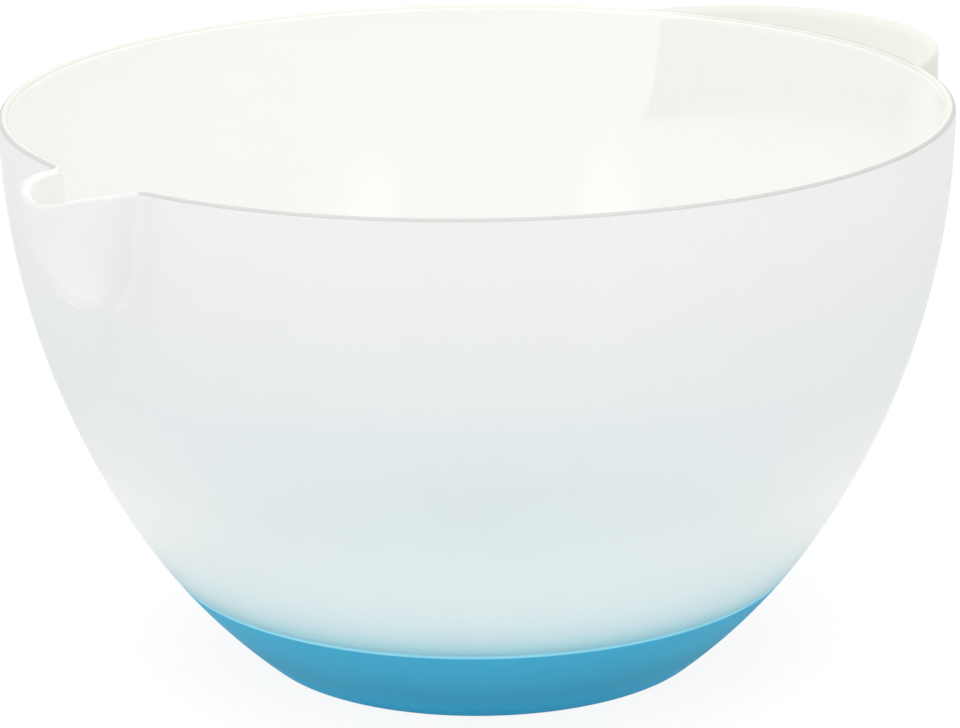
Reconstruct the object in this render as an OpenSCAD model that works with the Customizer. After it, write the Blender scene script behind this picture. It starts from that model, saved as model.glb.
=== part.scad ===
/* [Bowl] */
// Diameter outside the rim
rim_d = 220; // [200:1:240]
// Height from the table to the top of the rim
bowl_h = 132; // [118:1:144]
// Thickness of the moulded wall
wall = 2.4; // [1.8:0.1:3.2]
// Thickness of the moulded floor
floor_t = 2.4; // [1.8:0.1:4]
// Drop from the top of the rim to the widest ring
widest_drop = 0.6; // [0:0.1:4]
// Diameter of the foot, to where the side would meet the table
foot_d = 104.8; // [90:0.2:120]
// Radius inside, where the side runs into the floor
floor_fillet = 12; // [5:1:20]

/* [Spout] */
// Radius outside the spout at the rim
spout_r = 15; // [12:0.5:19]
// Reach of the spout past the rim
spout_reach = 16; // [12:0.5:19]
// Depth of the spout below the top of the rim
spout_depth = 28.5; // [22:0.5:36]
// Radius where the spout blends into the side
spout_fillet = 2.5; // [1.5:0.5:6]
// Dip of the lip at the tip of the spout
lip_dip = 2.6; // [0:0.1:4]

/* [Handle] */
// Distance from the bowl's axis to the centre of the handle's outline
handle_offset = 85.5; // [78:0.5:94]
// Radius of the handle's outline
handle_r = 48.5; // [41:0.5:55]
// Radius of the blends between the handle and the rim
handle_fillet = 8; // [5:1:20]
// Height of the skirt that hangs from the handle
skirt_h = 29; // [16:1:36]

/* [Soft base] */
// Height of the soft base on the outside
base_h = 23; // [14:1:30]
// Thickness of the soft base
base_t = 2; // [1.4:0.1:2.8]
// Radius round the foot
foot_edge = 3; // [1:0.5:5]
// Radius in the corner inside the soft base
seat_edge = 1.5; // [0.5:0.5:3]
// Radius on the upper edge of the soft base
lip_edge = 0.8; // [0.3:0.1:1.2]
// Thickness of the shell behind the soft base
low_wall = 1.8; // [1.4:0.1:2.6]
// Height over which the wall thickens above the step
swell_h = 16; // [8:1:30]
// Clearance between the soft base and the shell
fit_gap = 0.3; // [0.1:0.05:0.5]

/* [Hidden] */
// Overrun of cuts past the faces that they open
over = 1;
// Steps round the plain part of the wall, over one side of the spout and over its blend
plain_steps = 60;
spout_steps = 9;
blend_steps = 4;
// Rows over the plain side, over the depth of the spout and over each rounded corner
side_rows = 7;
spout_rows = 12;
seat_rows = 3;
corner_rows = 3;
fillet_rows = 5;
rim_rows = 6;
// Depth of the handle's flat top below the crest, where the rounded edges run into it
seam = 0.05;
// Halvings used to find the wall where the spout blends into it
halvings = 18;
// Posts of the skirt along each blend and along the handle's arc, their sides and end rows
blend_posts = 3;
arc_posts = 26;
post_sides = 8;
post_rows = 4;
// Steps of the handle's flat top along the crest of the rim
crest_steps = 23;
// Share of a blend's arc that lies inside the wall
sunk_share = 0.3;
// Power by which the dip of the lip gathers at the tip of the spout
dip_power = 6;
// Share of the side's whole turn that its upper curve makes, and the lower curve's share of its radius
turn_share = 0.632;
curve_share = 0.772;

rim_r = rim_d / 2;
side_z = bowl_h - widest_drop;
// The side leaves the rim upright and turns in two tangent arcs, for a total turn of t to the foot:
// how far it falls and comes in, per unit of the upper arc's radius
function fall(t) = sin(t * turn_share) + curve_share * (sin(t) - sin(t * turn_share));
function come_in(t) = 1 - cos(t * turn_share) + curve_share * (cos(t * turn_share) - cos(t));
// Total turn that brings the side from the rim to the foot
function turn_to_foot(low, high, n) =
    let(mid = (low + high) / 2)
    n == 0 ? mid :
    come_in(mid) * side_z < fall(mid) * (rim_r - foot_d / 2)
        ? turn_to_foot(mid, high, n - 1)
        : turn_to_foot(low, mid, n - 1);
foot_turn = turn_to_foot(0, 90, 2 * halvings);
side_turn = turn_share * foot_turn;
side_r = side_z / fall(foot_turn);
low_r = curve_share * side_r;
// Centres of the two arcs, on one line through the point where they meet
side_x = rim_r - side_r;
low_x = side_x + (side_r - low_r) * cos(side_turn);
low_z = side_z - (side_r - low_r) * sin(side_turn);
// Centre of the spout in plan, its width for each unit of depth, and the lowest height that it shapes
spout_x = rim_r + spout_reach - spout_r;
spout_slim = spout_r / spout_depth;
spout_floor = bowl_h - spout_depth - spout_fillet;
// Depths behind the outer curve where the shell meets the soft base, and inside
seat_in = base_t + fit_gap;
low_in = seat_in + low_wall;
seat_z = base_h + fit_gap;
floor_z = base_t + floor_t;
// Mid line of the wall, which the crest of the rim follows
crest_r = rim_r - wall / 2;

function smooth(t) = let(s = min(max(t, 0), 1)) s * s * (3 - 2 * s);
function polar(r, a) = [r * cos(a), r * sin(a)];

// Radius of the round side at height z, a depth "in" behind its outer curve
function side_at(z, in) =
    z > side_z ? rim_r - in :
    z > low_z - (low_r - in) * sin(side_turn)
        ? side_x + sqrt(pow(side_r - in, 2) - pow(z - side_z, 2))
        : low_x + sqrt(pow(low_r - in, 2) - pow(z - low_z, 2));

// Distance outside the round side, for a point at radius p and height z
function side_gap(p, z) =
    z > side_z ? p - rim_r :
    atan2(side_z - z, p - side_x) < side_turn
        ? norm([p - side_x, z - side_z]) - side_r
        : norm([p - low_x, z - low_z]) - low_r;

// Distance outside the spout, the lower half of a ball stretched downwards: "away" and "steep" measure it
// from the middle of the ball before and after the stretch
function spout_gap(p, a, z) =
    let(x = p * cos(a) + spout_x, y = p * sin(a), h = min(z - bowl_h, 0) * spout_slim,
        away = norm([x, y, h]), steep = norm([x, y, h * spout_slim]))
    (away - spout_r) * away / max(steep, seam);

// Joins two forms with a fillet of radius r in the corner between them
function blended(g, h, r) = max(r, min(g, h)) - norm([max(r - g, 0), max(r - h, 0)]);

// Radius of the wall at angle a and height z, where the spout blends into it
function wall_at(a, z, in, near, far, n) =
    let(mid = (near + far) / 2)
    n == 0 ? mid :
    blended(side_gap(mid, z), spout_gap(mid, a, z), spout_fillet) < -in
        ? wall_at(a, z, in, mid, far, n - 1)
        : wall_at(a, z, in, near, mid, n - 1);

// Plan of the spout: where its blend begins and ends, seen from the bowl's axis
blend_a = acos((pow(rim_r + spout_fillet, 2) + pow(spout_x, 2) - pow(spout_r + spout_fillet, 2))
    / (2 * spout_x * (rim_r + spout_fillet)));
blend_c = polar(rim_r + spout_fillet, blend_a);
spout_turn = atan2(blend_c.y, blend_c.x - spout_x);
function plan_angle(p) = atan2(p.y, p.x);
spout_side = concat(
    [for (i = [0 : spout_steps]) plan_angle([spout_x, 0] + polar(spout_r, i * spout_turn / spout_steps))],
    [for (i = [1 : blend_steps])
        let(s = 180 + spout_turn + (blend_a - spout_turn) * i / blend_steps)
        plan_angle(blend_c + polar(spout_fillet, s))]);
side_n = len(spout_side) - 1;

// Angles of the columns, once round from the tip of the spout
column_angles = concat(
    [for (a = spout_side) 180 + a],
    [for (i = [1 : plain_steps - 1]) 180 + blend_a + (360 - 2 * blend_a) * i / plain_steps],
    [for (i = [side_n : -1 : 1]) 180 - spout_side[i]]);

function near_spout(a, z) = abs(abs(a - 360 * floor(a / 360) - 180)) < 2 * blend_a && z > spout_floor;
function radius(a, z, in) =
    near_spout(a, z)
        ? wall_at(a, z, in, side_at(z, in) - spout_fillet, spout_x + spout_r + over, halvings)
        : side_at(z, in);

// Each column holds its angle and how far the lip dips there
columns = [for (a = column_angles)
    let(share = (radius(a, side_z, 0) - rim_r) / spout_reach)
    [a, lip_dip * pow(min(max(share, 0), 1), dip_power)]];

// Rows of heights below the rim: close together over the spout, wider below it
rim_edge = wall / 2;
fine_h = bowl_h - spout_floor;
side_drop = bowl_h - seat_z;
row_drops = concat(
    [for (i = [0 : spout_rows]) rim_edge + (fine_h - rim_edge) * i / spout_rows],
    [for (i = [1 : side_rows]) fine_h + (side_drop - fine_h) * i / side_rows]);
row_n = len(row_drops) - 1;

// Depth of the inner face, which grows above the step
function inner_in(z) = wall + (low_in - wall) * smooth((seat_z + swell_h - z) / swell_h);

function at(c, z, in) = let(r = radius(c[0], z, in)) [r * cos(c[0]), r * sin(c[0]), z];
function row_z(c, drop) = bowl_h - drop - c[1] * max(0, 1 - (drop - rim_edge) / (fine_h - rim_edge));
function outer_row(drop) = [for (c = columns) at(c, row_z(c, drop), 0)];
function inner_row(drop) = [for (c = columns) let(z = row_z(c, drop)) at(c, z, inner_in(z))];
function rim_row(t) = [for (c = columns)
    at(c, bowl_h - c[1] - rim_edge * (1 - sin(t)), rim_edge * (1 - cos(t)))];
function level_row(r, z) = [for (c = columns) [r * cos(c[0]), r * sin(c[0]), z]];

// Round corner between a flat at height z and the side at depth "in": centre and turn
function corner(z, in, r) =
    let(h = z + r, x = low_x + sqrt(pow(low_r - in - r, 2) - pow(h - low_z, 2)))
    [x, h, 90 - atan2(low_z - h, x - low_x)];
function corner_row(k, r, t) = level_row(k[0] + r * sin(t), k[1] - r * cos(t));

shell_edge = seat_edge + fit_gap;
under = corner(base_t, seat_in, shell_edge);
inside = corner(floor_z, low_in, floor_fillet);
under_top = under[1] - shell_edge * cos(under[2]);
inside_top = inside[1] - floor_fillet * cos(inside[2]);

// One closed skin: underside, step, outer side, rim, inner side and floor
rows = concat(
    [for (i = [0 : corner_rows]) corner_row(under, shell_edge, under[2] * i / corner_rows)],
    [for (i = [1 : seat_rows])
        let(z = under_top + (seat_z - under_top) * i / seat_rows) level_row(side_at(z, seat_in), z)],
    [for (i = [row_n : -1 : 0]) outer_row(row_drops[i])],
    [for (i = [1 : rim_rows - 1]) rim_row(180 * i / rim_rows)],
    [for (i = [0 : row_n]) inner_row(row_drops[i])],
    [for (i = [1 : seat_rows - 1])
        let(z = seat_z + (inside_top - seat_z) * i / seat_rows) level_row(side_at(z, low_in), z)],
    [for (i = [fillet_rows : -1 : 0]) corner_row(inside, floor_fillet, inside[2] * i / fillet_rows)]);

module shell() {
    m = len(columns);
    n = len(rows);
    points = concat([for (r = rows) each r], [[0, 0, base_t], [0, 0, floor_z]]);
    faces = concat(
        [for (i = [0 : n - 2], j = [0 : m - 1])
            let(a = i * m + j, b = i * m + (j + 1) % m) each [[a, a + m, b], [b, a + m, b + m]]],
        [for (j = [0 : m - 1]) [n * m, j, (j + 1) % m]],
        [for (j = [0 : m - 1]) let(k = (n - 1) * m) [n * m + 1, k + (j + 1) % m, k + j]]);
    polyhedron(points, faces);
}

// Plan of the handle: a round lobe joined to the rim by a fillet on each side
handle_a = acos((pow(rim_r + handle_fillet, 2) + pow(handle_offset, 2)
    - pow(handle_r + handle_fillet, 2)) / (2 * handle_offset * (rim_r + handle_fillet)));
handle_c = polar(rim_r + handle_fillet, handle_a);
lobe_turn = atan2(handle_c.y, handle_c.x - handle_offset);
lobe_r = handle_r - wall / 2;
neck_r = handle_fillet + wall / 2;
neck_from = 180 + handle_a + (lobe_turn - handle_a) * sunk_share;
neck_to = 180 + lobe_turn;

// Mid line of the skirt: each entry holds a point and the direction square to the skirt there
function path_point(c, r, a) = concat(c + polar(r, a), [a]);
neck_path = [for (i = [0 : blend_posts - 1])
    path_point(handle_c, neck_r, neck_from + (neck_to - neck_from) * i / blend_posts)];
lobe_path = [for (i = [0 : arc_posts])
    path_point([handle_offset, 0], lobe_r, lobe_turn * (1 - 2 * i / arc_posts))];
skirt_path = concat(neck_path, lobe_path,
    [for (i = [blend_posts - 1 : -1 : 0]) let(p = neck_path[i]) [p.x, -p.y, -p.z]]);

// Upright post with round ends, from the crest of the rim down to the foot of the skirt
module post(p) {
    ends = concat(
        [for (i = [0 : post_rows]) [-90 + 90 * i / post_rows, bowl_h - skirt_h + rim_edge]],
        [for (i = [0 : post_rows]) [90 * i / post_rows, bowl_h - rim_edge - seam / 2]]);
    translate([p.x, p.y, 0])
        rotate(p.z)
            rotate_extrude($fn = post_sides)
                polygon([for (e = ends) [rim_edge * cos(e[0]), e[1] + rim_edge * sin(e[0])]]);
}

// Wall that hangs round the handle, hollow on the side of the bowl
module skirt() {
    for (i = [0 : len(skirt_path) - 2])
        hull() {
            post(skirt_path[i]);
            post(skirt_path[i + 1]);
        }
}

// Flat top of the handle, from the crest of the rim to the mid line of the skirt
module flange() {
    from = plan_angle(skirt_path[0]);
    translate([0, 0, bowl_h - wall])
        linear_extrude(wall - seam)
            polygon(concat(
                [for (p = skirt_path) [p.x, p.y]],
                [for (i = [0 : crest_steps]) polar(crest_r, from * (2 * i / crest_steps - 1))]));
}

module bowl() {
    color("whitesmoke") {
        shell();
        flange();
        skirt();
    }
}

// Half section inside the curve of the side at depth "in", from height z up to "top"
module half_section(z, in, edge, top) {
    k = corner(z, in, edge);
    touch = [k[0] + edge * sin(k[2]), k[1] - edge * cos(k[2])];
    polygon([[0, z], [k[0], z], [k[0], k[1]], touch, [0, top]]);
    translate([k[0], k[1]])
        circle(edge, $fn = 48);
    intersection() {
        translate([low_x, low_z])
            circle(low_r - in, $fn = 360);
        translate([0, touch.y])
            square([rim_r, top - touch.y]);
    }
}

// Corner that is cut away to round the upper edge of the soft base
module lip_cut() {
    c_z = base_h - lip_edge;
    c_x = low_x + sqrt(pow(low_r - lip_edge, 2) - pow(c_z - low_z, 2));
    turn = atan2(low_z - c_z, c_x - low_x);
    past = side_at(base_h, 0) + over;
    difference() {
        polygon([[c_x, c_z], [c_x, base_h + over], [past, base_h + over], [past, base_h],
            [c_x + (lip_edge + over) * cos(turn), c_z - (lip_edge + over) * sin(turn)]]);
        translate([c_x, c_z])
            circle(lip_edge, $fn = 48);
    }
}

module base() {
    color("steelblue")
        rotate_extrude($fn = 180)
            difference() {
                half_section(0, 0, foot_edge, base_h);
                half_section(base_t, base_t, seat_edge, base_h + over);
                lip_cut();
            }
}

bowl();
base();
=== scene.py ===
import bpy
import math
import numpy as np
from mathutils import Matrix, Vector


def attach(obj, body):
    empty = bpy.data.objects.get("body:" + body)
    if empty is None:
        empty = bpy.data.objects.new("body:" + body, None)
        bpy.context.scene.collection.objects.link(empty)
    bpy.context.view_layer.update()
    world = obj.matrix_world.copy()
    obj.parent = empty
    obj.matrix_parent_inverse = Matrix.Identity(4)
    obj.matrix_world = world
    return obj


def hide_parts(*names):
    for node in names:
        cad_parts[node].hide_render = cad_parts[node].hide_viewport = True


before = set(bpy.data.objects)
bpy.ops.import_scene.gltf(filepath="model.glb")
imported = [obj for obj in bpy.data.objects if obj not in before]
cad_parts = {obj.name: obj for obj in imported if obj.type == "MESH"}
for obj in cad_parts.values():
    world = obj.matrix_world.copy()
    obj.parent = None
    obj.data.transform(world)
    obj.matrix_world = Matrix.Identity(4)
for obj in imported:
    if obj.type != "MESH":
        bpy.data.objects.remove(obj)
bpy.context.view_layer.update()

# Sizes of the bowl in millimetres, as in the construction source
RIM_R = 110.0
BOWL_H = 132.0
WALL = 2.4
FLOOR_T = 2.4
WIDEST_DROP = 0.6
FOOT_R = 52.4
FLOOR_FILLET = 12.0
SPOUT_R = 15.0
SPOUT_REACH = 16.0
SPOUT_DEPTH = 28.5
SPOUT_FILLET = 2.5
LIP_DIP = 2.6
HANDLE_OFFSET = 85.5
HANDLE_R = 48.5
HANDLE_FILLET = 8.0
SKIRT_H = 29.0
BASE_H = 23.0
BASE_T = 2.0
FOOT_EDGE = 3.0
SEAT_EDGE = 1.5
LIP_EDGE = 0.8
LOW_WALL = 1.8
SWELL_H = 16.0
FIT_GAP = 0.3
# Share of the side's turn that its upper arc takes, and size of the lower arc as a share of the upper one
TURN_SHARE = 0.632
CURVE_SHARE = 0.772
# How closely the dip of the lip keeps to the tip of the spout
DIP_POWER = 6
# Drop of the handle's flat top below the crest of the rim
SEAM = 0.05
# Radius of the corner inside the handle, between its flat top and its skirt
SKIRT_CORNER = 1.5
# Share of its size that the round side keeps, to stay inside the solids' flat facets
FIT = 0.99976
MM = 0.001

# Where the wall is searched for its blend with the spout: cosine of the widest turn, room below and beyond
SPOUT_COSINE = -0.9
ROOM_BELOW = 2.0
ROOM_BEYOND = 1.0
# Halvings in the searches for the wall and for the turn of the side, and the least value to divide by
WALL_HALVINGS = 26
TURN_HALVINGS = 50
LEAST = 0.05


# The side of the bowl
def turn_to_foot():
    """Turn of the side from the rim to the foot, in radians, and the radius of its upper arc."""
    fall = BOWL_H - WIDEST_DROP
    come_in = RIM_R - FOOT_R
    low, high = 0.0, math.pi / 2
    for _ in range(TURN_HALVINGS):
        t = (low + high) / 2
        s = t * TURN_SHARE
        down = math.sin(s) + CURVE_SHARE * (math.sin(t) - math.sin(s))
        across = 1 - math.cos(s) + CURVE_SHARE * (math.cos(s) - math.cos(t))
        if across * fall < down * come_in:
            low = t
        else:
            high = t
    return t, fall / down


# Turns, radii and centres of the side's two arcs, form of the spout, and places where the pieces meet
FOOT_TURN, SIDE_R = turn_to_foot()
SIDE_TURN = TURN_SHARE * FOOT_TURN
LOW_R = CURVE_SHARE * SIDE_R
SIDE_X = RIM_R - SIDE_R
SIDE_Z = BOWL_H - WIDEST_DROP
LOW_X = SIDE_X + (SIDE_R - LOW_R) * math.cos(SIDE_TURN)
LOW_Z = SIDE_Z - (SIDE_R - LOW_R) * math.sin(SIDE_TURN)
SPOUT_X = RIM_R + SPOUT_REACH - SPOUT_R
SPOUT_SLIM = SPOUT_R / SPOUT_DEPTH
SEAT_IN = BASE_T + FIT_GAP
LOW_IN = SEAT_IN + LOW_WALL
SEAT_Z = BASE_H + FIT_GAP
FLOOR_Z = BASE_T + FLOOR_T
CREST_R = RIM_R - WALL / 2


def side_at(z, depth):
    """Radius of the round side at height z, a depth behind its outer curve."""
    upper = SIDE_X + np.sqrt(np.maximum((SIDE_R - depth) ** 2 - (z - SIDE_Z) ** 2, 0))
    lower = LOW_X + np.sqrt(np.maximum((LOW_R - depth) ** 2 - (z - LOW_Z) ** 2, 0))
    low = z <= LOW_Z - (LOW_R - depth) * math.sin(SIDE_TURN)
    return np.where(z > SIDE_Z, RIM_R - depth, np.where(low, lower, upper))


def side_radius(z, depth):
    """The same radius at a single height, as a plain number."""
    return float(side_at(np.array(z), depth))


def side_points(start, end, count, depth):
    """Points of the side from one height to another, as radius and height."""
    return [(side_radius(z, depth), z) for z in np.linspace(start, end, count)]


def corner(z, depth, r, count):
    """Points of the round corner between a flat at height z and the side, from the flat upwards."""
    h = z + r
    x = LOW_X + math.sqrt((LOW_R - depth - r) ** 2 - (h - LOW_Z) ** 2)
    turn = math.pi / 2 - math.atan2(LOW_Z - h, x - LOW_X)
    return [(x + r * math.sin(t), h - r * math.cos(t)) for t in np.linspace(0, turn, count)]


def side_gap(r, z):
    """Distance outside the round side."""
    upper = np.hypot(r - SIDE_X, z - SIDE_Z) - SIDE_R
    lower = np.hypot(r - LOW_X, z - LOW_Z) - LOW_R
    high = np.arctan2(SIDE_Z - z, r - SIDE_X) < SIDE_TURN
    return np.where(z > SIDE_Z, r - RIM_R, np.where(high, upper, lower))


def spout_gap(r, angle, z):
    """Distance outside the spout, the lower half of a ball stretched downwards."""
    x = r * np.cos(angle) + SPOUT_X
    y = r * np.sin(angle)
    h = np.minimum(z - BOWL_H, 0) * SPOUT_SLIM
    away = np.sqrt(x * x + y * y + h * h)
    steep = np.sqrt(x * x + y * y + (h * SPOUT_SLIM) ** 2)
    return (away - SPOUT_R) * away / np.maximum(steep, LEAST)


def blended(first, second, fillet):
    """Distance outside two forms joined by a fillet, from the distance outside each."""
    inner = np.hypot(np.maximum(fillet - first, 0), np.maximum(fillet - second, 0))
    return np.maximum(fillet, np.minimum(first, second)) - inner


def wall_at(angle, z, depth):
    """Radius of the wall at an angle and height z, a depth behind its outer face."""
    plain = side_at(z, depth)
    low = plain - SPOUT_FILLET
    high = np.full_like(plain, SPOUT_X + SPOUT_R + ROOM_BEYOND)
    for _ in range(WALL_HALVINGS):
        mid = (low + high) / 2
        gap = blended(side_gap(mid, z), spout_gap(mid, angle, z), SPOUT_FILLET)
        inside = gap < -depth
        low = np.where(inside, mid, low)
        high = np.where(inside, high, mid)
    near = (np.cos(angle) < SPOUT_COSINE) & (z > BOWL_H - SPOUT_DEPTH - SPOUT_FILLET - ROOM_BELOW)
    return np.where(near, (low + high) / 2, plain)


def inner_depth(z):
    """Thickness of the wall at height z, which swells softly towards the step for the base."""
    s = np.clip((SEAT_Z + SWELL_H - z) / SWELL_H, 0.0, 1.0)
    return WALL + (LOW_IN - WALL) * (s * s * (3 - 2 * s))


# Outlines seen from above
def arc(centre, r, angles):
    """Points of a circle at the angles."""
    return np.array(centre) + r * np.column_stack([np.cos(angles), np.sin(angles)])


def rim_fillet(offset, r, fillet):
    """Fillet from the rim to a circle off the axis: its centre, and the turns to it from both centres."""
    reach = RIM_R + fillet
    span = r + fillet
    turn = math.acos((reach ** 2 + offset ** 2 - span ** 2) / (2 * offset * reach))
    centre = (reach * math.cos(turn), reach * math.sin(turn))
    return centre, turn, math.atan2(centre[1], centre[0] - offset)


def spout_columns(spout_steps, blend_steps):
    """Angles from the tip of the spout to the end of its blend, evenly along its edge."""
    centre, turn, end = rim_fillet(SPOUT_X, SPOUT_R, SPOUT_FILLET)
    tip = arc((SPOUT_X, 0.0), SPOUT_R, np.linspace(0, end, spout_steps + 1))
    blend = arc(centre, SPOUT_FILLET, np.linspace(math.pi + end, math.pi + turn, blend_steps + 1)[1:])
    points = np.vstack([tip, blend])
    return np.arctan2(points[:, 1], points[:, 0])


def column_angles(plain_steps=320, spout_steps=44, blend_steps=14, crowding=0.8):
    """Angles once round, close together at the spout and slowly wider apart away from it."""
    side = spout_columns(spout_steps, blend_steps)
    last = side[-1]
    share = np.linspace(0, 1, plain_steps + 1)[1:-1]
    share = share - crowding * np.sin(2 * math.pi * share) / (2 * math.pi)
    plain = last + (2 * math.pi - 2 * last) * share
    return math.pi + np.concatenate([side, plain, -side[:0:-1]])


def mirrored(half):
    """A half outline followed by its mirror image."""
    return np.vstack([half, (half[:-1] * np.array([1.0, -1.0]))[::-1]])


def handle_path(neck_steps=14, lobe_steps=48, sunk=0.2):
    """Points of the handle's outline and the directions square to it, pointing out."""
    centre, turn, lobe = rim_fillet(HANDLE_OFFSET, HANDLE_R, HANDLE_FILLET)
    first = math.pi + turn + (lobe - turn) * sunk
    neck = np.linspace(first, math.pi + lobe, neck_steps + 1)[:-1]
    bow = np.linspace(lobe, 0, lobe_steps + 1)
    points = np.vstack([arc(centre, HANDLE_FILLET, neck), arc((HANDLE_OFFSET, 0.0), HANDLE_R, bow)])
    out = np.vstack([-arc((0.0, 0.0), 1.0, neck), arc((0.0, 0.0), 1.0, bow)])
    return mirrored(points), mirrored(out)


# Meshes, in millimetres, as vertices and faces
def ring(angles, r, z):
    """Points round the axis, with one radius and height for all angles or one for each."""
    return np.column_stack([r * np.cos(angles), r * np.sin(angles), np.broadcast_to(z, angles.shape)])


def ring_faces(rings, points):
    """Faces between each ring and the next, for this many rings of this many points."""
    faces = []
    for i in range(rings - 1):
        here = i * points
        there = here + points
        for j in range(points):
            k = (j + 1) % points
            faces.append((here + j, here + k, there + k, there + j))
    return faces


def closed_rows(rows, low_centre, high_centre):
    """Rings that close at a centre point at each end."""
    points = len(rows[0])
    faces = ring_faces(len(rows), points)
    last = (len(rows) - 1) * points
    centre = len(rows) * points
    for j in range(points):
        k = (j + 1) % points
        faces.append((centre, k, j))
        faces.append((centre + 1, last + j, last + k))
    return np.vstack(rows + [[low_centre], [high_centre]]), faces


def shell_rows(angles, spout_rows=40, side_rows=34, rim_rows=15, seat_rows=8, foot_rows=7, floor_rows=13):
    """Rings of the closed shell, from its underside over the rim to its floor."""
    tip = wall_at(angles, np.full_like(angles, SIDE_Z), 0.0)
    dip = LIP_DIP * np.clip((tip - RIM_R) / SPOUT_REACH, 0, 1) ** DIP_POWER
    edge = WALL / 2
    fine = SPOUT_DEPTH + SPOUT_FILLET
    drops = np.concatenate([
        np.linspace(edge, fine, spout_rows),
        np.linspace(fine, BOWL_H - SEAT_Z, side_rows)[1:],
    ])
    heights = [BOWL_H - drop - dip * max(0.0, 1 - (drop - edge) / (fine - edge)) for drop in drops]
    foot = corner(BASE_T, SEAT_IN, SEAT_EDGE + FIT_GAP, foot_rows)
    seat = side_points(foot[-1][1], SEAT_Z, seat_rows, SEAT_IN)[1:]
    floor = corner(FLOOR_Z, LOW_IN, FLOOR_FILLET, floor_rows)[::-1]
    inside = side_points(SEAT_Z, floor[0][1], seat_rows, LOW_IN)[1:-1]

    rows = [ring(angles, r, z) for r, z in foot + seat]
    for z in heights[::-1]:
        rows.append(ring(angles, wall_at(angles, z, 0.0), z))
    for t in np.linspace(0, math.pi, rim_rows)[1:-1]:
        z = BOWL_H - dip - edge * (1 - math.sin(t))
        rows.append(ring(angles, wall_at(angles, z, edge * (1 - math.cos(t))), z))
    for z in heights:
        rows.append(ring(angles, wall_at(angles, z, inner_depth(z)), z))
    return rows + [ring(angles, r, z) for r, z in inside + floor]


def shell_mesh():
    """The revolved wall with its spout and floor, closed all round."""
    return closed_rows(shell_rows(column_angles()), (0, 0, BASE_T), (0, 0, FLOOR_Z))


def base_profile(foot_rows=12, side_rows=26, lip_rows=12, inner_rows=16, seat_rows=7):
    """Section of the soft base as radius and height, from its underside over the lip to its floor."""
    foot = corner(0.0, 0.0, FOOT_EDGE, foot_rows)
    lip_z = BASE_H - LIP_EDGE
    lip_x = side_radius(lip_z, LIP_EDGE)
    lean = math.atan2(LOW_Z - lip_z, lip_x - LOW_X)
    outside = side_points(foot[-1][1], lip_z - LIP_EDGE * math.sin(lean), side_rows, 0.0)[1:]
    turns = np.linspace(-lean, math.pi / 2, lip_rows)[1:]
    lip = [(lip_x + LIP_EDGE * math.cos(t), lip_z + LIP_EDGE * math.sin(t)) for t in turns]
    seat = corner(BASE_T, BASE_T, SEAT_EDGE, seat_rows)[::-1]
    inside = side_points(BASE_H, seat[0][1], inner_rows, BASE_T)
    return foot + outside + lip + inside + seat[1:]


def base_mesh(steps=288):
    """The section of the soft base turned once round the axis."""
    angles = np.linspace(0, 2 * math.pi, steps, endpoint=False)
    rows = [ring(angles, r, z) for r, z in base_profile()]
    return closed_rows(rows, (0, 0, 0), (0, 0, BASE_T))


def bend(depth, z, r, turns):
    """Points of an arc in the handle's section, which is at this depth and height at turn zero."""
    return [(depth + r - r * math.cos(t), z + r * math.sin(t)) for t in turns]


def handle_profile(crown_rows=7, face_rows=8, hem_rows=11, corner_rows=6):
    """Section of the skirt as depth behind the outline and height, from the flat top to its underside."""
    edge = WALL / 2
    top = BOWL_H - SEAM - edge
    foot = BOWL_H - SKIRT_H + edge
    under = BOWL_H - WALL - SKIRT_CORNER
    crown = bend(0.0, top, edge, np.linspace(math.pi / 2, 0, crown_rows))
    face = [(0.0, z) for z in np.linspace(top, foot, face_rows)[1:]]
    hem = bend(0.0, foot, edge, -np.linspace(0, math.pi, hem_rows)[1:])
    back = [(WALL, z) for z in np.linspace(foot, under, face_rows)[1:]]
    inner = bend(WALL, under, SKIRT_CORNER, np.linspace(0, math.pi / 2, corner_rows)[1:])
    return crown + face + hem + back + inner


def handle_ring(point, out, profile):
    """The section at a point of the outline, no deeper than the middle of the wall, and the top's end."""
    away = point / np.linalg.norm(point)
    points = []
    for depth, z in profile:
        room = (np.linalg.norm(point) - side_radius(z, WALL / 2)) / max(out @ away, LEAST)
        x, y = point - out * min(depth, room)
        points.append((x, y, z))
    x, y = CREST_R * away
    return points + [(x, y, BOWL_H - WALL), (x, y, BOWL_H - SEAM)]


def handle_mesh():
    """One closed hook: the skirt and the flat top that runs back to the crest of the rim."""
    profile = handle_profile()
    rings = [handle_ring(point, out, profile) for point, out in zip(*handle_path())]
    points = len(rings[0])
    last = (len(rings) - 1) * points
    faces = [(a, d, c, b) for a, b, c, d in ring_faces(len(rings), points)]
    faces.append(tuple(range(points)))
    faces.append(tuple(range(last + points - 1, last - 1, -1)))
    return np.vstack(rings), faces


# Blender objects
def fitted(shape):
    """Draws a shape in by the little that the solids' flat facets lie inside their circle."""
    verts, faces = shape
    return verts * np.array([FIT, FIT, 1.0]), faces


def linked(name, data):
    """An object with this data, in the scene."""
    obj = bpy.data.objects.new(name, data)
    bpy.context.scene.collection.objects.link(obj)
    return obj


def new_object(name, shape):
    """An object of a shape in millimetres."""
    verts, faces = shape
    mesh = bpy.data.meshes.new(name)
    mesh.from_pydata((verts * MM).tolist(), [], faces)
    mesh.validate()
    mesh.update()
    return linked(name, mesh)


def joined(name, body, tool):
    """One mesh of both closed meshes."""
    union = body.modifiers.new("join", "BOOLEAN")
    union.operation = "UNION"
    union.solver = "MANIFOLD"
    union.object = tool
    bpy.context.view_layer.update()
    graph = bpy.context.evaluated_depsgraph_get()
    obj = linked(name, bpy.data.meshes.new_from_object(body.evaluated_get(graph)))
    for old in (body, tool):
        bpy.data.objects.remove(old)
    return obj


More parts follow.
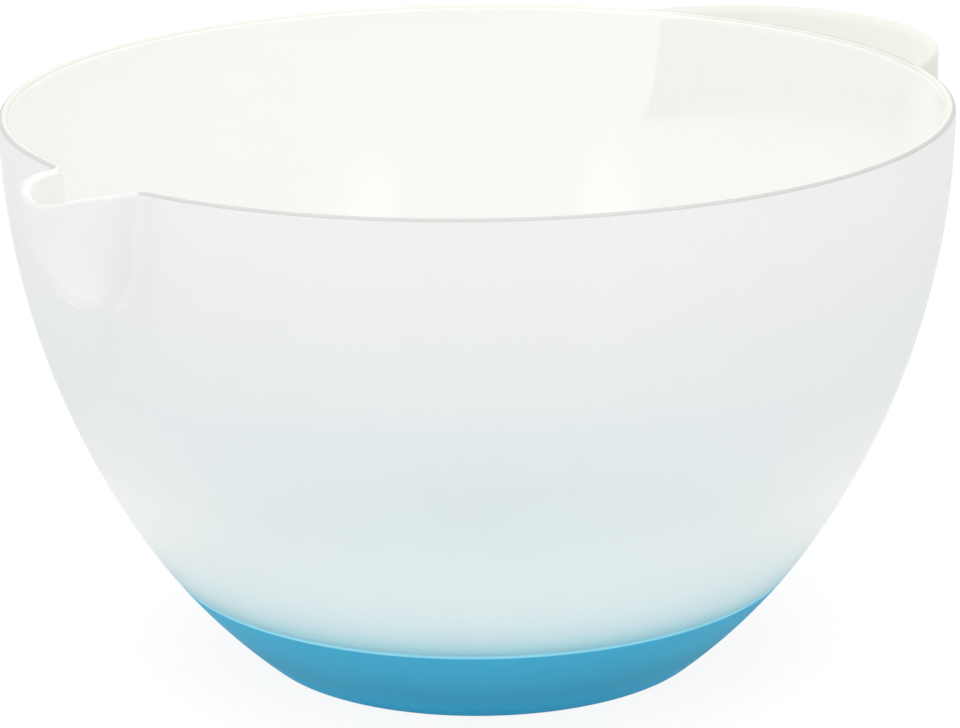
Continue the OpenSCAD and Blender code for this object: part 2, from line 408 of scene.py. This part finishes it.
def shade_smooth(obj, degrees):
    """Smooth shading, with the edges that turn by more than an angle left sharp."""
    for face in obj.data.polygons:
        face.use_smooth = True
    obj.data.set_sharp_from_angle(angle=math.radians(degrees))


# Node trees

WHITE = (1, 1, 1, 1)
# Places of the two colours among the inputs of a mix node, and of the mixed one among its outputs
MIX_FIRST, MIX_SECOND, MIX_RESULT = 6, 7, 2
NOISE_ROUGHNESS = 0.6


class NodeTree:
    """Short ways to build the node tree of a material or a world."""

    def __init__(self, owner, output):
        owner.use_nodes = True
        self.owner = owner
        self.nodes = owner.node_tree.nodes
        self.links = owner.node_tree.links
        self.nodes.clear()
        self.output = self.nodes.new(output)

    def add(self, kind, **values):
        """A node with its settings, and with inputs named in the same way."""
        node = self.nodes.new(kind)
        for name, value in values.items():
            if hasattr(node, name):
                setattr(node, name, value)
            else:
                self.feed(node.inputs[name.replace("_", " ")], value)
        return node

    def feed(self, target, value):
        """Gives an input a plain value or the output of another node."""
        if isinstance(value, bpy.types.NodeSocket):
            self.links.new(value, target)
        else:
            target.default_value = value

    def math(self, operation, *values):
        """Result of an operation on plain values and outputs of other nodes."""
        node = self.add("ShaderNodeMath", operation=operation)
        for target, value in zip(node.inputs, values):
            self.feed(target, value)
        return node.outputs[0]

    def mix(self, share, first, second):
        """Two shader nodes mixed by a share."""
        node = self.add("ShaderNodeMixShader", Fac=share)
        self.feed(node.inputs[1], first.outputs[0])
        self.feed(node.inputs[2], second.outputs[0])
        return node

    def finished(self, shader):
        """The material or world, with this shader node as its surface."""
        self.feed(self.output.inputs["Surface"], shader.outputs[0])
        return self.owner


def material_tree(name):
    """Nodes of a new material."""
    return NodeTree(bpy.data.materials.new(name), "ShaderNodeOutputMaterial")


def place_on(tree):
    """Place on the object, in metres."""
    return tree.add("ShaderNodeTexCoord").outputs["Object"]


def height(tree, place):
    """Height above the table, in metres."""
    return tree.add("ShaderNodeSeparateXYZ", Vector=place).outputs["Z"]


def noise(tree, place, pattern):
    """Noise of a pattern, which is a scale and a detail."""
    scale, detail = pattern
    node = tree.add(
        "ShaderNodeTexNoise", Vector=place, Scale=scale, Detail=detail, Roughness=NOISE_ROUGHNESS
    )
    return node.outputs["Fac"]


def bumped(tree, relief, bump):
    """Normal of a surface with a relief, by a strength and a distance in metres."""
    strength, distance = bump
    return tree.add("ShaderNodeBump", Height=relief, Strength=strength, Distance=distance).outputs["Normal"]


def ramp(tree, source, stops):
    """Colour by a value, between stops."""
    node = tree.add("ShaderNodeValToRGB", Fac=source)
    elements = node.color_ramp.elements
    while len(elements) < len(stops):
        elements.new(0.5)
    for element, (place, colour) in zip(elements, stops):
        element.position = place
        element.color = (*colour, 1)
    return node.outputs["Color"]


def tinted(tree, plain, tint, amount, share):
    """Mixes a tint into a plain colour by a share of a value."""
    mix = tree.add("ShaderNodeMix", data_type="RGBA", Factor=tree.math("MULTIPLY", amount, share))
    tree.feed(mix.inputs[MIX_FIRST], plain)
    tree.feed(mix.inputs[MIX_SECOND], (*tint, 1))
    return mix.outputs[MIX_RESULT]


def fading_above(tree, place, level, reach):
    """Value that is one up to a level and dies away above it, over a reach, both in metres."""
    fall = tree.math("SUBTRACT", level, height(tree, place))
    grown = tree.math("EXPONENT", tree.math("DIVIDE", fall, reach))
    return tree.math("MINIMUM", grown, 1.0)


def growing(tree, place, start, full):
    """Value that grows softly from zero at one height to one at another, both in millimetres."""
    step = tree.add(
        "ShaderNodeMapRange",
        interpolation_type="SMOOTHSTEP",
        Value=height(tree, place),
        From_Min=start * MM,
        From_Max=full * MM,
    )
    return step.outputs["Result"]


# Frosted plastic of the shell

# Colours of the milky plastic, as stops by share of the bowl's height.
# Outside: darker all over than inside as painted shade, paler low down as painted light from the floor,
# and a darker bluish band at mid height as the soft base's painted blue glow.
OUTSIDE_MILK_AND_PAINTED_LIGHT = [
    (0.17, (0.99, 0.95, 0.91)),
    (0.30, (0.93, 0.885, 0.845)),
    (0.38, (0.875, 0.85, 0.82)),
    (0.455, (0.79, 0.785, 0.775)),
    (0.53, (0.735, 0.745, 0.76)),
    (0.61, (0.705, 0.728, 0.75)),
    (0.76, (0.755, 0.75, 0.765)),
    (0.95, (0.795, 0.785, 0.79)),
]
# Inside: darker towards the floor, as painted shade
INSIDE_MILK_AND_PAINTED_SHADE = [
    (0.3, (0.88, 0.86, 0.815)),
    (0.6, (0.886, 0.859, 0.816)),
    (0.95, (0.934, 0.906, 0.862)),
]
# Painted grey shade line on the rim
RIM_PAINTED_SHADE = [(0.5, (0.50, 0.50, 0.49)), (1.0, (0.50, 0.50, 0.49))]
# Handle, and the rim's crest and inner rounding: a darker, yellower copy of the plastic, as painted shade
HANDLE_MILK_AND_PAINTED_SHADE = [(0.5, (0.715, 0.71, 0.655)), (1.0, (0.72, 0.715, 0.66))]
# Painted shade in the spout's hollow
SPOUT_MILK_AND_PAINTED_SHADE = [(0.5, (0.87, 0.87, 0.83)), (1.0, (0.87, 0.87, 0.83))]
# Looks of the shell's sides, copies of one plastic whose colours and tints are set lighter or darker as
# painted
# light and shade: name, colours, tint of what passes straight through, roughness,
# share of the light that passes, and share of the soft base's painted blue
LOOKS = [
    ("frosted_outside_painted_light", OUTSIDE_MILK_AND_PAINTED_LIGHT, (0.70, 0.715, 0.705), 0.42, 0.5, 0.75),
    ("polished_inside_painted_light", INSIDE_MILK_AND_PAINTED_SHADE, (0.95, 0.94, 0.91), 0.13, 0.2, 0.95),
    ("frosted_rim_painted_shade", RIM_PAINTED_SHADE, (0.5, 0.5, 0.49), 0.5, 0.2, 0.75),
    ("frosted_handle_painted_shade", HANDLE_MILK_AND_PAINTED_SHADE, (0.7, 0.7, 0.66), 0.42, 0.3, 0.75),
    ("frosted_spout_painted_shade", SPOUT_MILK_AND_PAINTED_SHADE, (0.85, 0.85, 0.82), 0.42, 0.3, 0.75),
]
# Their places in that list
OUTSIDE, INSIDE, RIM, HANDLE, SPOUT = range(len(LOOKS))
PLASTIC_IOR = 1.49
# Scale and detail of the clouds that shift the colours, and the share of the height by which they do
CLOUDS = (22.0, 3.0)
CLOUD_SHARE = 0.06
# The fine relief: scale and detail, then strength and distance
GRAIN = (900.0, 2.0)
GRAIN_BUMP = (0.05, 0.00015)
# Painted blue of the soft base, standing for it showing through the plastic below its lip and glowing
# up the wall above it, and the height in metres over which it dies away
PAINTED_BASE_BLUE = (0.02, 0.43, 0.56)
PAINTED_BLUE_REACH = 0.0056
# Blur of what passes straight through, and its share of all the light that passes
HAZE_ROUGHNESS = 0.85
HAZE_IOR = 1.2
HAZE_SHARE = 0.7


def cloudy_height(tree, place):
    """Height as a share of the bowl's, made slightly uneven by soft clouds."""
    share = tree.math("MULTIPLY_ADD", height(tree, place), 1 / (BOWL_H * MM), -CLOUD_SHARE / 2)
    return tree.math("MULTIPLY_ADD", noise(tree, place, CLOUDS), CLOUD_SHARE, share)


def light_through(tree, colour, haze):
    """Light that comes through the plastic, scattered all round and blurred straight ahead."""
    glow = tree.add("ShaderNodeBsdfTranslucent", Color=colour)
    blur = tree.add("ShaderNodeBsdfRefraction", Color=(*haze, 1), Roughness=HAZE_ROUGHNESS, IOR=HAZE_IOR)
    return tree.mix(HAZE_SHARE, glow, blur)


def one_sided(tree, shader):
    """Shows a shader on the fronts of faces and lets light pass freely through their backs."""
    clear = tree.add("ShaderNodeBsdfTransparent", Color=WHITE)
    back = tree.add("ShaderNodeNewGeometry").outputs["Backfacing"]
    return tree.mix(back, shader, clear)


def frosted_plastic(name, milk_and_painted_light, haze, roughness, passing, painted_blue_share):
    """Milky moulded plastic that lets light through, with the soft base's blue painted on where it lies
    behind and as a glow above it.
    """
    tree = material_tree(name)
    place = place_on(tree)
    # Painted blue of the soft base: full up to its lip, dying away above it
    painted_blue = fading_above(tree, place, BASE_H * MM, PAINTED_BLUE_REACH)
    colour = tinted(tree, ramp(tree, cloudy_height(tree, place), milk_and_painted_light), PAINTED_BASE_BLUE, painted_blue, painted_blue_share)
    grain = bumped(tree, noise(tree, place, GRAIN), GRAIN_BUMP)
    body = tree.add(
        "ShaderNodeBsdfPrincipled", Base_Color=colour, Normal=grain, Roughness=roughness, IOR=PLASTIC_IOR
    )
    both = tree.mix(passing, body, light_through(tree, colour, haze))
    return tree.finished(one_sided(tree, both))


# Soft blue plastic of the base

BLUE_SHADES = [(0.3, (0.044, 0.330, 0.505)), (0.7, (0.050, 0.350, 0.525))]
# Paler near the table as painted light, a painted highlight on the thin edge and painted shade on top of
# it:
# colour, and heights where it begins and is full
BLUE_PAINTED_LIGHT = [
    ((0.05, 0.54, 0.81), 9.0, 0.0),
    ((0.28, 0.64, 0.77), BASE_H - 1.45 * LIP_EDGE, BASE_H - 1.1 * LIP_EDGE),
    ((0.30, 0.57, 0.66), BASE_H - 0.85 * LIP_EDGE, BASE_H - 0.45 * LIP_EDGE),
]
TINT_SHARE = 0.95
# Scale and detail of the patches between the two shades
PATCHES = (35.0, 4.0)
# The fine skin: scale and detail, then strength and distance
SKIN = (1400.0, 3.0)
SKIN_BUMP = (0.12, 0.0001)
BLUE_ROUGHNESS = 0.6
BLUE_IOR = 1.45
BLUE_SPECULAR = 0.12


def soft_blue():
    """Matte soft plastic with a fine skin, paler near the table as painted light, with a painted highlight
    on its thin upper edge and painted shade on its top.
    """
    tree = material_tree("soft_blue")
    place = place_on(tree)
    colour = ramp(tree, noise(tree, place, PATCHES), BLUE_SHADES)
    # Painted light near the table, painted highlight on the edge, painted shade on top
    for tint, start, full in BLUE_PAINTED_LIGHT:
        colour = tinted(tree, colour, tint, growing(tree, place, start, full), TINT_SHARE)
    body = tree.add(
        "ShaderNodeBsdfPrincipled",
        Base_Color=colour,
        Normal=bumped(tree, noise(tree, place, SKIN), SKIN_BUMP),
        Roughness=BLUE_ROUGHNESS,
        IOR=BLUE_IOR,
        Specular_IOR_Level=BLUE_SPECULAR,
    )
    return tree.finished(body)


# The two pieces

# Place along x from which a face is at the handle, and reach beyond the rim from which it is on the spout
HANDLE_X = 99.0
SPOUT_EDGE = 0.5
# Least upward part of the normal on the crest of the rim, on its roundings and on the floor
CREST_UP = 0.95
ROUNDING_UP = 0.4
FLOOR_UP = 0.9
# Angles in degrees from which an edge stays sharp
BOWL_SHARP = 40
BASE_SHARP = 50


def look_of(face):
    """Look of a face of the shell, by its place and its normal.

    The rim looks like the handle, with a painted grey shade line on its outside, or on its crest where the
    handle is; the inside of the spout has painted shade.
    """
    level = Vector((face.center.x, face.center.y, 0))
    up = face.normal.z
    inward = face.normal.dot(level) < 0
    high = face.center.z > (BOWL_H - LIP_DIP - WALL) * MM
    at_handle = face.center.x > HANDLE_X * MM
    at_spout = level.length > (RIM_R + SPOUT_EDGE) * MM
    # Rim: the handle's look, and a painted grey shade line on its outside and, at the handle, on its crest
    if high and up > (CREST_UP if inward or not at_handle else ROUNDING_UP):
        return RIM if at_handle else HANDLE
    if high and up > ROUNDING_UP and not at_spout:
        return HANDLE if inward else RIM
    # Inside the spout: painted shade
    if inward and level.length > CREST_R * MM:
        return SPOUT
    if level.length < CREST_R * MM and (inward or up > FLOOR_UP):
        return INSIDE
    return OUTSIDE


def make_bowl():
    """The shell and its handle, joined to one mesh."""
    shell = new_object("shell_body", fitted(shell_mesh()))
    hook = new_object("shell_hook", fitted(handle_mesh()))
    # Copies of one plastic, set apart by painted light and shade as well as by roughness
    materials = [frosted_plastic(*look) for look in LOOKS]
    for piece in (shell, hook):
        for material in materials:
            piece.data.materials.append(material)
    for face in shell.data.polygons:
        face.material_index = look_of(face)
    for face in hook.data.polygons:
        face.material_index = HANDLE
    bowl = joined("moulded_bowl", shell, hook)
    shade_smooth(bowl, BOWL_SHARP)
    return bowl


def make_base():
    """The soft cup that the shell stands in."""
    base = new_object("soft_base_cup", fitted(base_mesh()))
    shade_smooth(base, BASE_SHARP)
    base.data.materials.append(soft_blue())
    return base


# Floor and world

FLOOR_HALF = 6.0
FLOOR_COLOUR = (0.92, 0.92, 0.92)
FLOOR_WHITE_SHARE = 0.9
WORLD_COLOUR = (0.98, 0.99, 1.0)
WORLD_STRENGTH = 0.74


def background_rays(tree):
    """One for rays that see the background: from the camera, through the plastic, or mirrored."""
    rays = tree.add("ShaderNodeLightPath").outputs
    straight = tree.math("MAXIMUM", rays["Is Camera Ray"], rays["Is Transmission Ray"])
    return tree.math("MAXIMUM", straight, rays["Is Glossy Ray"])


def studio_floor():
    """Pale floor that the camera sees as nearly white, with the shadow kept."""
    tree = material_tree("studio_floor")
    body = tree.add("ShaderNodeBsdfDiffuse", Color=(*FLOOR_COLOUR, 1))
    white = tree.add("ShaderNodeEmission", Strength=1.0)
    share = tree.math("MULTIPLY", background_rays(tree), FLOOR_WHITE_SHARE)
    return tree.finished(tree.mix(share, body, white))


def make_floor():
    """The floor, which is no part of the bowl."""
    s = FLOOR_HALF
    corners = np.array([(-s, -s, 0), (s, -s, 0), (s, s, 0), (-s, s, 0)]) / MM
    floor = new_object("studio_floor", (corners, [(0, 1, 2, 3)]))
    floor.data.materials.append(studio_floor())


def make_world():
    """Soft light from all round, seen as plain white."""
    world = bpy.data.worlds.new("studio_world")
    bpy.context.scene.world = world
    tree = NodeTree(world, "ShaderNodeOutputWorld")
    light = tree.add("ShaderNodeBackground", Color=(*WORLD_COLOUR, 1), Strength=WORLD_STRENGTH)
    white = tree.add("ShaderNodeBackground", Color=WHITE, Strength=1.0)
    tree.finished(tree.mix(background_rays(tree), light, white))


# Lamps

# Turn of the photo's camera round the bowl, from square to the handle towards the spout
HANDLE_TURN = math.radians(41.5)
# Name, turn from the camera's side and rise in degrees, distance and size in metres, and power in watts
LAMPS = [
    ("top_softbox", 0, 84, 1.4, (2.2, 2.0), 25.5),
    ("right_window", 32, 20, 1.3, (0.36, 0.7), 1.3),
    ("left_window", -39, 20, 1.3, (0.34, 0.7), 1.3),
    ("right_panel", 105, 22, 1.5, (1.6, 1.0), 0.9),
    ("left_panel", -105, 22, 1.5, (1.6, 1.0), 3.3),
]
# Height in metres of the point on the bowl's axis that they face
AIM_H = 0.09


def around(turn, rise, distance):
    """A place seen from that point, turned from the camera's side and raised, both in degrees."""
    t = math.radians(turn)
    e = math.radians(rise)
    right = distance * math.cos(e) * math.sin(t)
    ahead = -distance * math.cos(e) * math.cos(t)
    up = AIM_H + distance * math.sin(e)
    return Matrix.Rotation(-HANDLE_TURN, 3, "Z") @ Vector((right, ahead, up))


def make_lamp(name, turn, rise, distance, size, power):
    """A flat lamp that faces the bowl."""
    data = bpy.data.lights.new(name, "AREA")
    data.shape = "RECTANGLE"
    data.size, data.size_y = size
    data.energy = power
    obj = linked(name, data)
    obj.location = around(turn, rise, distance)
    obj.rotation_mode = "QUATERNION"
    obj.rotation_quaternion = (Vector((0, 0, AIM_H)) - obj.location).to_track_quat("-Z", "Y")


# Camera, fitted to the rim, the side and the foot of the bowl in the photograph

# Its distance in metres and its rise in degrees, from the centre of the rim
CAMERA_DISTANCE = 0.95977
CAMERA_RISE = 12.914
# Its pitch and roll in degrees
CAMERA_PITCH = -16.5635
CAMERA_ROLL = -0.684
# Focal length and width of the photo in its pixels, and the sensor's width in millimetres
FOCAL_PIXELS = 4149.7
PHOTO_PIXELS = 960.0
SENSOR_WIDTH = 36.0
# Nearest and farthest that it sees, in metres
VIEW_NEAR = 0.05
VIEW_FAR = 50.0


def camera_place():
    """Place of the camera before its turn round the bowl."""
    rise = math.radians(CAMERA_RISE)
    return Vector((0, -CAMERA_DISTANCE * math.cos(rise), BOWL_H * MM + CAMERA_DISTANCE * math.sin(rise)))


def camera_axes():
    """Right, up and backward directions of the camera before its turn round the bowl."""
    pitch = math.radians(CAMERA_PITCH)
    roll = math.radians(CAMERA_ROLL)
    ahead = Vector((0, math.cos(pitch), math.sin(pitch)))
    level_right = Vector((1, 0, 0))
    level_up = level_right.cross(ahead)
    right = level_right * math.cos(roll) + level_up * math.sin(roll)
    up = level_up * math.cos(roll) - level_right * math.sin(roll)
    return Matrix((right, up, -ahead)).transposed()


def make_camera():
    """The camera in its place, turned round the bowl."""
    turn = Matrix.Rotation(-HANDLE_TURN, 3, "Z")
    data = bpy.data.cameras.new("camera")
    data.sensor_width = SENSOR_WIDTH
    data.lens = FOCAL_PIXELS * SENSOR_WIDTH / PHOTO_PIXELS
    data.clip_start = VIEW_NEAR
    data.clip_end = VIEW_FAR
    obj = linked("camera", data)
    obj.matrix_world = Matrix.Translation(turn @ camera_place()) @ (turn @ camera_axes()).to_4x4()
    bpy.context.scene.camera = obj


# The scene
bowl = make_bowl()
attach(bowl, "root")
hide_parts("bowl")

base = make_base()
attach(base, "root")
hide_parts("base")

make_floor()
make_world()
for lamp in LAMPS:
    make_lamp(*lamp)
make_camera()
bpy.context.scene.view_settings.view_transform = "Standard"

bpy.context.view_layer.update()
